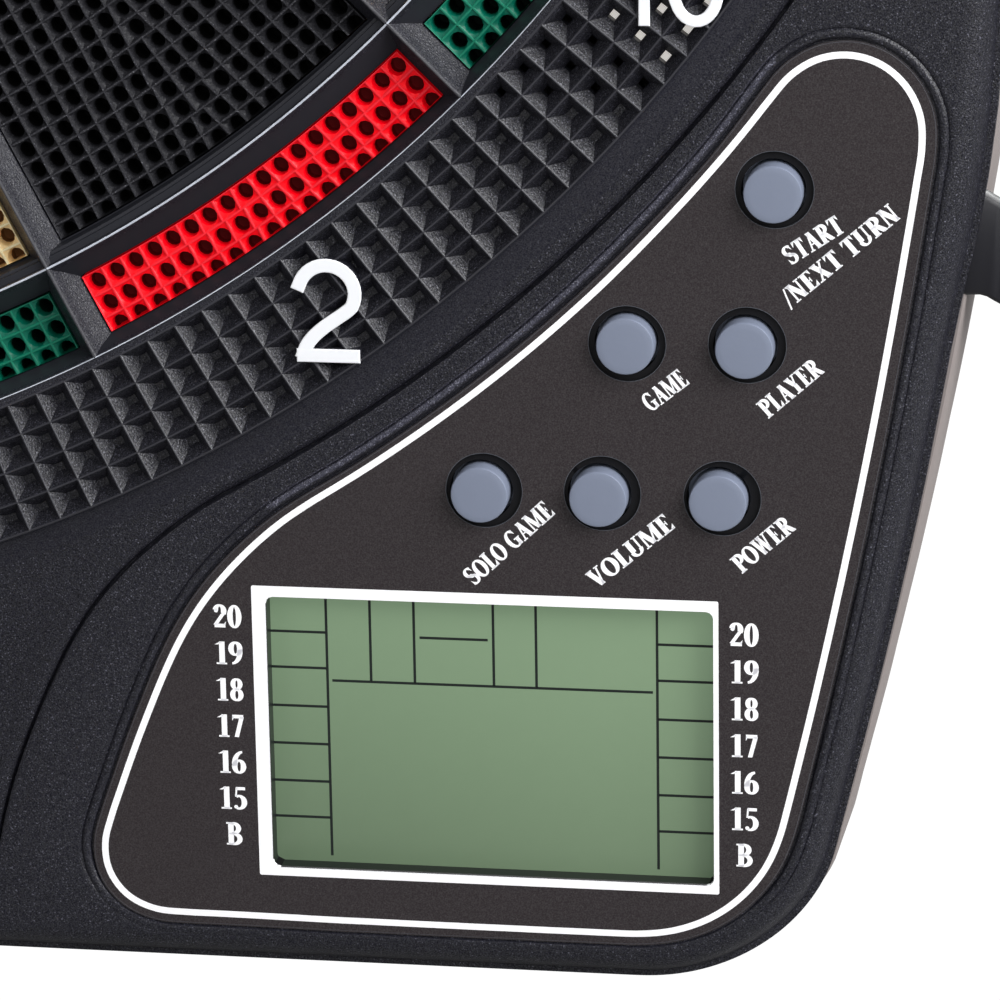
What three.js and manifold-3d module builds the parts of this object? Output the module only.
// Electronic dartboard, wall hung. Millimetres, +Z up, front faces -Y.
// Origin: the bull's centre line where it meets the wall plane (Y = 0).
// X runs to the player's right and Z up the board.
// Points are [x, z] and Y ranges are [front, rear] unless a comment says otherwise.
import * as THREE from 'three';
import { mergeVertices } from 'three/addons/utils/BufferGeometryUtils.js';
import Module from 'manifold-3d';

// ---------------------------------------------------------------- shared dimensions
const RAD = Math.PI / 180;
const BULL = [0, 0];
const OVERLAP = 0.5;              // how far joined parts run into each other
const CUT_MARGIN = 1;             // how far a cutter runs past the face it opens

const Y_FACE = -34.3;             // housing front face
const Y_WALL_BACK = -31.5;        // rear of the housing's front wall
const Y_SPLIT = -23.9;            // rear edge of the front housing's skirt
const SHELL = 2.5;                // shell wall thickness

const DIVIDER_R = [20.5, 110.5, 123.8, 183.8, 197.0]; // divider centres, bull outwards
const DIVIDER_HALF = 2.6;         // half width of a divider at the segment faces
const RIM_HALF = 1.9;             // the same, inside the outermost divider

const BUTTONS = {
  button_start: [179.6, -151.2],
  button_game: [160.3, -172.1],
  button_player: [175.9, -172.1],
  button_solo: [140.7, -192.9],
  button_sound: [156.5, -192.9],
  button_power: [172.3, -192.9],
};
const BUTTON_HOLE_R = 5.45;
const WINDOW = [111.1, -247.4, 171.6, -208.6];     // display opening: x0, z0, x1, z1
const BAY = [-168.5, -246.0, -111.0, -195.5];      // battery bay opening: x0, z0, x1, z1
const SPEAKER = { centre: [171.8, -124.8], radius: 13.2 };
const SCREWS = [[112, 194], [190, -119], [78, -250]].flatMap(([x, z]) => [[x, z], [-x, z]]);

const CELL = { radius: 7.1, length: 50.5, x: -139.6, y: -10.4 };
const CELL_Z = [-205.25, -220.75, -236.25];

const HOLDER_Z = [-168, -155];    // bottom and top of the dart holders
const TONGUE = {
  size: [9, 8, 7],
  centre: [202.6, -16, (HOLDER_Z[0] + HOLDER_Z[1]) / 2],
};

// ---------------------------------------------------------------- solids
const wasm = await Module();
wasm.setup();

function solid(geometry) {
  geometry.deleteAttribute('normal');
  geometry.deleteAttribute('uv');
  const merged = mergeVertices(geometry, 1e-4);
  return new wasm.Manifold(new wasm.Mesh({
    numProp: 3,
    vertProperties: new Float32Array(merged.attributes.position.array),
    triVerts: new Uint32Array(merged.index.array),
  }));
}

function geometryOf(manifold) {
  const mesh = manifold.getMesh();
  const geometry = new THREE.BufferGeometry();
  const positions = new Float32Array(mesh.vertProperties);
  geometry.setAttribute('position', new THREE.BufferAttribute(positions, 3));
  geometry.setIndex(new THREE.BufferAttribute(new Uint32Array(mesh.triVerts), 1));
  geometry.computeVertexNormals();
  return geometry;
}

const join = (body, parts) => parts.reduce((sum, part) => sum.add(part), body);
const cut = (body, parts) => parts.reduce((rest, part) => rest.subtract(part), body);
const vectors = (points) => points.map(([x, y]) => new THREE.Vector2(x, y));

function extrude(points, depth, holes) {
  const shape = new THREE.Shape(vectors(points));
  for (const hole of holes) shape.holes.push(new THREE.Path(vectors(hole)));
  return new THREE.ExtrudeGeometry(shape, { depth, bevelEnabled: false, curveSegments: 1 });
}

// X-Z outline extruded along Y
function slab(points, [front, rear], holes = []) {
  return extrude(points, rear - front, holes).rotateX(Math.PI / 2).translate(0, rear, 0);
}
const block = (points, yRange, holes) => solid(slab(points, yRange, holes));

// Profile of [radius, y] turned about an axis along Y through [x, z]
function turned(profile, [x, z], steps) {
  return new THREE.LatheGeometry(vectors(profile), steps).translate(x, 0, z);
}

// ---------------------------------------------------------------- outline helpers
// Angles are in degrees from +X towards +Z
const arc = ([x, z], radius, start, end, steps) =>
  Array.from({ length: steps + 1 }, (_, i) => {
    const angle = (start + ((end - start) * i) / steps) * RAD;
    return [x + radius * Math.cos(angle), z + radius * Math.sin(angle)];
  });
const circle = (centre, radius, steps) => arc(centre, radius, 0, 360, steps).slice(0, -1);

// Cubic curve with its start point and `inner` points along it, but not its end point
const bezier = (p0, p1, p2, p3, inner) =>
  Array.from({ length: inner + 1 }, (_, i) => {
    const t = i / (inner + 1);
    const s = 1 - t;
    return [0, 1].map((k) =>
      s * s * s * p0[k] + 3 * s * s * t * p1[k] + 3 * s * t * t * p2[k] + t * t * t * p3[k]);
  });

// Rectangle grown by margin on every side
function rect([x0, z0, x1, z1], margin = 0) {
  const [left, bottom, right, top] = [x0 - margin, z0 - margin, x1 + margin, z1 + margin];
  return [[left, bottom], [right, bottom], [right, top], [left, top]];
}

function unit([x, z]) {
  const length = Math.hypot(x, z);
  return [x / length, z / length];
}

// Grows a counter-clockwise outline, or shrinks it when the distance is negative
function offset(points, distance) {
  const count = points.length;
  const outward = (from, to) => unit([to[1] - from[1], -(to[0] - from[0])]);
  return points.map((point, i) => {
    const before = outward(points[(i + count - 1) % count], point);
    const after = outward(point, points[(i + 1) % count]);
    const mitre = unit([before[0] + after[0], before[1] + after[1]]);
    const reach = distance / Math.max(0.5, mitre[0] * before[0] + mitre[1] * before[1]);
    return [point[0] + mitre[0] * reach, point[1] + mitre[1] * reach];
  });
}

// ---------------------------------------------------------------- outlines
// Right half of the housing: lower corner, shallow side wall, shoulder, round top
const RIGHT_HALF = [
  ...arc([160.8, -236.3], 27, -90, -17.1, 5),
  ...arc([-272.3, -103], 480, -14.5, -0.9, 5),
  [208.3, -104.2], [209.5, -99.2],
  ...arc(BULL, 231, -24.2, 84, 18),
];
const OUTLINE = [
  ...RIGHT_HALF,
  [0, 231],
  ...RIGHT_HALF.slice().reverse().map(([x, z]) => [-x, z]),
];
const OUTLINE_INSIDE = offset(OUTLINE, -SHELL);

// Control panel, clockwise from its edge along the target, then reversed and grown
const PANEL_BORDER = 2;
const PANEL = offset([
  ...arc(BULL, 227.1, -57.8, -38.4, 5),
  ...arc([188.2, -143.5], 10.4, 138, -6, 7),
  [197.0, -155.3], [194.5, -169.6], [191.7, -186.0], [188.4, -203.5], [184.6, -221.8],
  ...bezier([181.0, -236.5], [178.7, -245.5], [168.8, -254.9], [159.8, -254.9], 4),
  [159.8, -254.9],
  ...bezier([98, -254.9], [92, -254.9], [86.05, -248.8], [88, -242.3], 3),
  ...bezier([88, -242.3], [93.75, -223.1], [104.1, -202.9], [121, -192.2], 4),
].reverse(), PANEL_BORDER);
const PANEL_HOLES = [
  rect(WINDOW),
  ...Object.values(BUTTONS).map((centre) => circle(centre, BUTTON_HOLE_R, 16)),
];

// ---------------------------------------------------------------- target layout
const ORDER = [20, 1, 18, 4, 13, 6, 10, 15, 2, 17, 3, 19, 7, 16, 8, 11, 14, 9, 12, 5];
const SPLIT_SECTORS = [15, 2, 17];                 // sectors whose four beds are separate
const sectorAngle = (i) => 90 - 18 * i;            // clockwise from the top, seen from the front

// Inner and outer radius of each bed
const BEDS = {
  single_inner: [DIVIDER_R[0] + DIVIDER_HALF, DIVIDER_R[1] - DIVIDER_HALF],
  treble: [DIVIDER_R[1] + DIVIDER_HALF, DIVIDER_R[2] - DIVIDER_HALF],
  single_outer: [DIVIDER_R[2] + DIVIDER_HALF, DIVIDER_R[3] - DIVIDER_HALF],
  double: [DIVIDER_R[3] + DIVIDER_HALF, DIVIDER_R[4] - RIM_HALF],
};

// Outline of a bed, its sides inset from the sector lines
function bed([inner, outer], angle, inset) {
  const halfAngle = (radius) => 9 - Math.asin(inset / radius) / RAD;
  const innerHalf = halfAngle(inner);
  const outerHalf = halfAngle(outer);
  const innerSteps = inner < 40 ? 1 : 2;           // a single chord next to the bull
  return [
    ...arc(BULL, outer, angle - outerHalf, angle + outerHalf, 2),
    ...arc(BULL, inner, angle + innerHalf, angle - innerHalf, innerSteps),
  ];
}

// ---------------------------------------------------------------- materials and group
const FINISHES = {
  housing: { color: 0x2b2a30, roughness: 0.62 },
  spider: { color: 0x24242a, roughness: 0.5 },
  black: { color: 0x121216, roughness: 0.45 },
  red: { color: 0xe0101c, roughness: 0.4 },
  green: { color: 0x0a7a5c, roughness: 0.42 },
  cream: { color: 0xf0dca8, roughness: 0.45 },
  overlay: { color: 0x35302f, roughness: 0.55 },
  lcd: { color: 0x7c927a, roughness: 0.25 },
  button: { color: 0x7f879a, roughness: 0.5 },
  rear: { color: 0x8c8480, roughness: 0.6 },
  board: { color: 0x1c6b3c, roughness: 0.5 },
  film: { color: 0xd8d2bc, roughness: 0.4 },
  foam: { color: 0x3a3a3c, roughness: 0.9 },
  rubber: { color: 0x55585c, roughness: 0.8 },
  speaker: { color: 0xb8b4ac, roughness: 0.7 },
  cell: { color: 0x1d3f6e, roughness: 0.35, metalness: 0.2 },
  steel: { color: 0xb9bcc0, roughness: 0.3, metalness: 1 },
  holder: { color: 0x17171a, roughness: 0.4 },
};

const group = new THREE.Group();
group.name = 'electronic_dartboard';

// shape is a geometry or a manifold
function add(name, shape, finish) {
  const geometry = shape.isBufferGeometry ? shape : geometryOf(shape);
  const mesh = new THREE.Mesh(geometry, new THREE.MeshStandardMaterial(FINISHES[finish]));
  mesh.name = name;
  group.add(mesh);
}

// ---------------------------------------------------------------- front housing
function frontHousing() {
  const openingR = 216.8;
  const ledge = { outer: 220, inner: 212, y: [-32.2, -29.7] };
  const post = { radius: 3.8, rear: -8.3, holeRadius: 1.4, holeY: [-22, -8] };
  const pocket = { gap: 0.35, floor: -33.2 };

  const wall = block(OUTLINE, [Y_FACE, Y_WALL_BACK], [circle(BULL, openingR, 60), ...PANEL_HOLES]);
  const skirt = block(OUTLINE, [Y_WALL_BACK - OVERLAP, Y_SPLIT], [OUTLINE_INSIDE]);
  // ledge behind the number ring, notched for the speaker
  const notch = block(circle(SPEAKER.centre, SPEAKER.radius + 0.5, 20), [-33, -29]);
  const ledgeRing = block(circle(BULL, ledge.outer, 60), ledge.y, [circle(BULL, ledge.inner, 60)]);
  const posts = SCREWS.map((centre) =>
    block(circle(centre, post.radius, 12), [Y_WALL_BACK - OVERLAP, post.rear]));
  const pilots = SCREWS.map((centre) => block(circle(centre, post.holeRadius, 8), post.holeY));
  const panelPocket = block(offset(PANEL, pocket.gap), [Y_FACE - CUT_MARGIN, pocket.floor]);

  return cut(join(wall, [skirt, ledgeRing.subtract(notch), ...posts]), [...pilots, panelPocket]);
}
add('front_housing', frontHousing(), 'housing');

// ---------------------------------------------------------------- target spider, number ring
function targetSpider() {
  const gap = 0.35;                                // running gap round a segment
  const ringR = 216.2;
  const ringInnerR = 198.6;                        // the plate is thin outside this
  const ringBack = -32.5;
  const dividers = [-36, -27.5];
  const cutRear = dividers[1] + CUT_MARGIN;
  const inset = DIVIDER_HALF - gap;

  const holes = [circle(BULL, DIVIDER_R[0] - inset, 20)];
  for (let i = 0; i < 20; i++)
    for (const [inner, outer] of Object.values(BEDS))
      holes.push(bed([inner - gap, outer + gap], sectorAngle(i), inset));

  return cut(block(circle(BULL, ringR, 60), dividers), [
    ...holes.map((hole) => block(hole, [dividers[0] - CUT_MARGIN, cutRear])),
    block(circle(BULL, 220, 60), [ringBack, cutRear], [circle(BULL, ringInnerR, 60)]),
  ]);
}
add('target_spider', targetSpider(), 'spider');

// ---------------------------------------------------------------- target segments
const Y_SEG = -32.5;              // segment faces
const Y_SEG_FOOT = -27.2;         // front of the retaining flange
const Y_SEG_BACK = -25.7;         // rear of a segment
const FLANGE = 1.2;               // flange overhang behind the dividers
const FLANGE_AT_BULL = 0.8;       // the same, at the inner end of a sector
const BULL_FLANGE = 0.9;          // the same, round the outer bull

const bedFace = (radii, angle) =>
  block(bed(radii, angle, DIVIDER_HALF), [Y_SEG, Y_SEG_FOOT + OVERLAP]);
const bedFoot = (inner, outer, angle, overhang) => block(
  bed([inner - overhang, outer + FLANGE], angle, DIVIDER_HALF - FLANGE),
  [Y_SEG_FOOT, Y_SEG_BACK],
);

function addSplitSector(value, angle, colours) {
  for (const [name, radii] of Object.entries(BEDS)) {
    const overhang = name === 'single_inner' ? FLANGE_AT_BULL : FLANGE;
    const foot = bedFoot(...radii, angle, overhang);
    const colour = name.startsWith('single') ? colours.single : colours.multiple;
    add(`${name}_${value}`, bedFace(radii, angle).add(foot), colour);
  }
}

// Four bed faces on one shared foot
function sectorPiece(angle) {
  const foot = bedFoot(BEDS.single_inner[0], BEDS.double[1], angle, FLANGE_AT_BULL);
  return join(foot, Object.values(BEDS).map((radii) => bedFace(radii, angle)));
}

ORDER.forEach((value, i) => {
  const colours = i % 2 === 0
    ? { single: 'black', multiple: 'red' }
    : { single: 'cream', multiple: 'green' };
  const angle = sectorAngle(i);
  if (SPLIT_SECTORS.includes(value)) addSplitSector(value, angle, colours);
  else add(`segments_${value}`, sectorPiece(angle), colours.single);
});

function bullOuter() {
  const radius = DIVIDER_R[0] - DIVIDER_HALF;
  return turned([
    [8.8, Y_SEG], [radius, Y_SEG], [radius, Y_SEG_FOOT],
    [radius + BULL_FLANGE, Y_SEG_FOOT], [radius + BULL_FLANGE, Y_SEG_BACK],
    [11.6, Y_SEG_BACK], [11.6, -30.2], [8.8, -30.2], [8.8, Y_SEG],
  ], BULL, 20);
}
function bullInner() {
  return turned([
    [0, Y_SEG], [8.4, Y_SEG], [8.4, -28.7], [11.1, -28.7], [11.1, Y_SEG_BACK], [0, Y_SEG_BACK],
  ], BULL, 20);
}
add('bull_outer', bullOuter(), 'green');
add('bull_inner', bullInner(), 'red');

// ---------------------------------------------------------------- control panel
const BUTTON_PROFILE = [
  [0, -35.0], [3.6, -35.0], [4.3, -34.4], [4.3, -31.2], [6.3, -31.2], [6.3, -30.2], [0, -30.2],
];
const LCD = [107.5, -251.0, 175.3, -204.8];        // x0, z0, x1, z1
const MAT_OUTLINE = [
  [131, -201], [181, -201], [188, -148], [171, -148], [150, -165], [131, -185],
];
const BOARD_OUTLINE = [
  [105, -254], [173, -254], [189, -200], [195, -152], [190, -147],
  [171, -148], [148, -178], [123, -199], [105, -222],
];
const SPEAKER_PROFILE = [
  [0, -29.6], [4.5, -29.6], [11.8, -31.2], [SPEAKER.radius, -31.2],
  [SPEAKER.radius, -28.6], [8.5, -28.2], [8.5, -25.2], [0, -25.2],
];

// Board with two raised blocks on its rear face
function circuitBoard() {
  return join(block(BOARD_OUTLINE, [-27.0, -25.4]), [
    block(rect([140, -190, 158, -172]), [-25.6, -24.0]),
    block(rect([118, -238, 146, -230]), [-25.6, -24.2]),
  ]);
}

add('panel_overlay', slab(PANEL, [-34.0, -33.5], PANEL_HOLES), 'overlay');
for (const [name, centre] of Object.entries(BUTTONS))
  add(name, turned(BUTTON_PROFILE, centre, 16), 'button');
add('lcd_module', slab(rect(LCD), [-31.2, -27.4]), 'lcd');
add('keypad_mat', slab(MAT_OUTLINE, [-29.0, -28.0]), 'rubber');
add('circuit_board', circuitBoard(), 'board');
add('speaker', turned(SPEAKER_PROFILE, SPEAKER.centre, 20), 'speaker');

// ---------------------------------------------------------------- behind the segments
// Round film with a straight tail towards the circuit board
function sensorMembrane() {
  const film = [-23.5, -22.9];
  const tail = { angle: -53 * RAD, start: 190, end: 228, halfWidth: 9 };
  const [cos, sin] = [Math.cos(tail.angle), Math.sin(tail.angle)];
  const at = (along, across) => [cos * along - sin * across, sin * along + cos * across];
  const corners = rect([tail.start, -tail.halfWidth, tail.end, tail.halfWidth]);
  const tailOutline = corners.map(([along, across]) => at(along, across));
  return block(circle(BULL, 198.5, 40), film).add(block(tailOutline, film));
}
add('sensor_membrane', sensorMembrane(), 'film');
add('backing_pad', slab(circle(BULL, 197.5, 40), [-22.6, -17.4]), 'foam');

// ---------------------------------------------------------------- rear cover
const Y_PLATE_JOIN = -SHELL + OVERLAP;             // rear end of what stands on the back plate

const keyhole = (x, z) => [...arc([x, z], 5, 120, 420, 10), ...arc([x, z + 12], 2.5, 0, 180, 4)];

// Ring that carries the backing pad
const padRib = (radius, steps) => block(
  circle(BULL, radius, steps), [-17.1, Y_PLATE_JOIN], [circle(BULL, radius - 2.5, steps)]);

// Slot for a dart holder's tongue, on the side given by its sign
function tongueSlot(side) {
  const gap = 0.4;
  const [, y, z] = TONGUE.centre;
  const halfDepth = TONGUE.size[1] / 2 + gap;
  const halfHeight = TONGUE.size[2] / 2 + gap;
  const [x0, x1] = side > 0 ? [196, 212] : [-212, -196];
  return block(rect([x0, z - halfHeight, x1, z + halfHeight]), [y - halfDepth, y + halfDepth]);
}

function rearCover() {
  const skirtGap = 0.3;
  const boss = { radius: 5.2, bore: 3.6, capRadius: 4.4, front: -8, capRear: -6.5 };
  const screwHole = { radius: 1.7, y: [-9, -6] };
  const bay = { wall: 1.6, floor: [-21.5, -20] };
  const bores = SCREWS.map((centre) => circle(centre, boss.bore, 12));

  const plate = block(OUTLINE, [-SHELL, 0],
    [rect(BAY), ...bores, keyhole(-100, 140), keyhole(100, 140)]);
  const skirt = block(OUTLINE, [Y_SPLIT + skirtGap, Y_PLATE_JOIN], [OUTLINE_INSIDE]);
  const bosses = SCREWS.map((centre, i) =>
    block(circle(centre, boss.radius, 12), [boss.front, Y_PLATE_JOIN], [bores[i]]));
  const caps = SCREWS.map((centre) =>
    block(circle(centre, boss.capRadius, 12), [boss.front, boss.capRear]));
  const screwHoles = SCREWS.map((centre) =>
    block(circle(centre, screwHole.radius, 8), screwHole.y));

  const body = cut(join(plate, [skirt, ...bosses, ...caps]), screwHoles);
  const bayOutside = rect(BAY, bay.wall);
  const ribbed = join(body, [
    block(bayOutside, [bay.floor[1] - OVERLAP, Y_PLATE_JOIN], [rect(BAY)]),
    block(bayOutside, bay.floor),
    padRib(182, 32),
    padRib(92, 24),
  ]);
  return cut(ribbed, [tongueSlot(-1), tongueSlot(1)]);
}
add('rear_cover', rearCover(), 'rear');

// Door with a shallow rectangular recess near the top of its rear face
function batteryDoor() {
  const gap = 0.4;
  const recess = block(rect([-147, -202, -132.5, -198.5]), [-0.9, CUT_MARGIN]);
  return block(rect(BAY, -gap), [-2.2, 0]).subtract(recess);
}
add('battery_door', batteryDoor(), 'rear');

// ---------------------------------------------------------------- batteries
// [radius, distance along the cell], ending in the raised terminal
const CELL_PROFILE = [
  [0, 0], [6.6, 0], [CELL.radius, 0.6], [CELL.radius, 48.6],
  [6.6, 49.3], [2.8, 49.3], [2.8, CELL.length], [0, CELL.length],
];

// A cell lying along X, its terminal towards +X unless flipped
function battery(z, flipped) {
  const geometry = new THREE.LatheGeometry(vectors(CELL_PROFILE), 16);
  geometry.rotateZ(-Math.PI / 2);
  geometry.translate(-CELL.length / 2, 0, 0);
  if (flipped) geometry.rotateZ(Math.PI);
  return geometry.translate(CELL.x, CELL.y, z);
}

// Plate with a tapered stub for each cell
function contactStrip() {
  const stubs = CELL_Z.map((z) => {
    const stub = new THREE.CylinderGeometry(2.6, 3.4, 1.9, 10);
    return solid(stub.rotateZ(-Math.PI / 2).translate(-166.2, CELL.y, z));
  });
  return join(block(rect([-168.1, -243, -167.1, -198.5]), [-16, -5]), stubs);
}
CELL_Z.forEach((z, i) => add(`battery_${i + 1}`, battery(z, i % 2 === 1), 'cell'));
add('battery_contact_strip', contactStrip(), 'steel');

// ---------------------------------------------------------------- screws and dart holders
const SCREW_PROFILE = [
  [0, -20], [0.5, -20], [1.1, -19], [1.1, -6.2],
  [3.1, -6.2], [3.1, -5.0], [2.3, -4.3], [0, -4.3],
];
SCREWS.forEach((centre, i) =>
  add(`rear_screw_${i + 1}`, turned(SCREW_PROFILE, centre, 10), 'steel'));

// Right-hand holder: outline and dart holes in [x, y], extruded up Z, plus its tongue
function dartHolder() {
  const outline = [
    [205.6, -30.5], [214, -30.2], [223, -28.0], [231, -23.5],
    [236.5, -17.5], [238, -12], [235.5, -8.6], [205.6, -8.6],
  ];
  const holes = [[212.5, -19], [221, -17.5], [229.5, -15]].map((at) => circle(at, 2.9, 10));
  const body = extrude(outline, HOLDER_Z[1] - HOLDER_Z[0], holes).translate(0, 0, HOLDER_Z[0]);
  const tongue = new THREE.BoxGeometry(...TONGUE.size).translate(...TONGUE.centre);
  return solid(body).add(solid(tongue));
}
add('dart_holder_right', dartHolder(), 'holder');
add('dart_holder_left', dartHolder().mirror([1, 0, 0]), 'holder');

export default group;
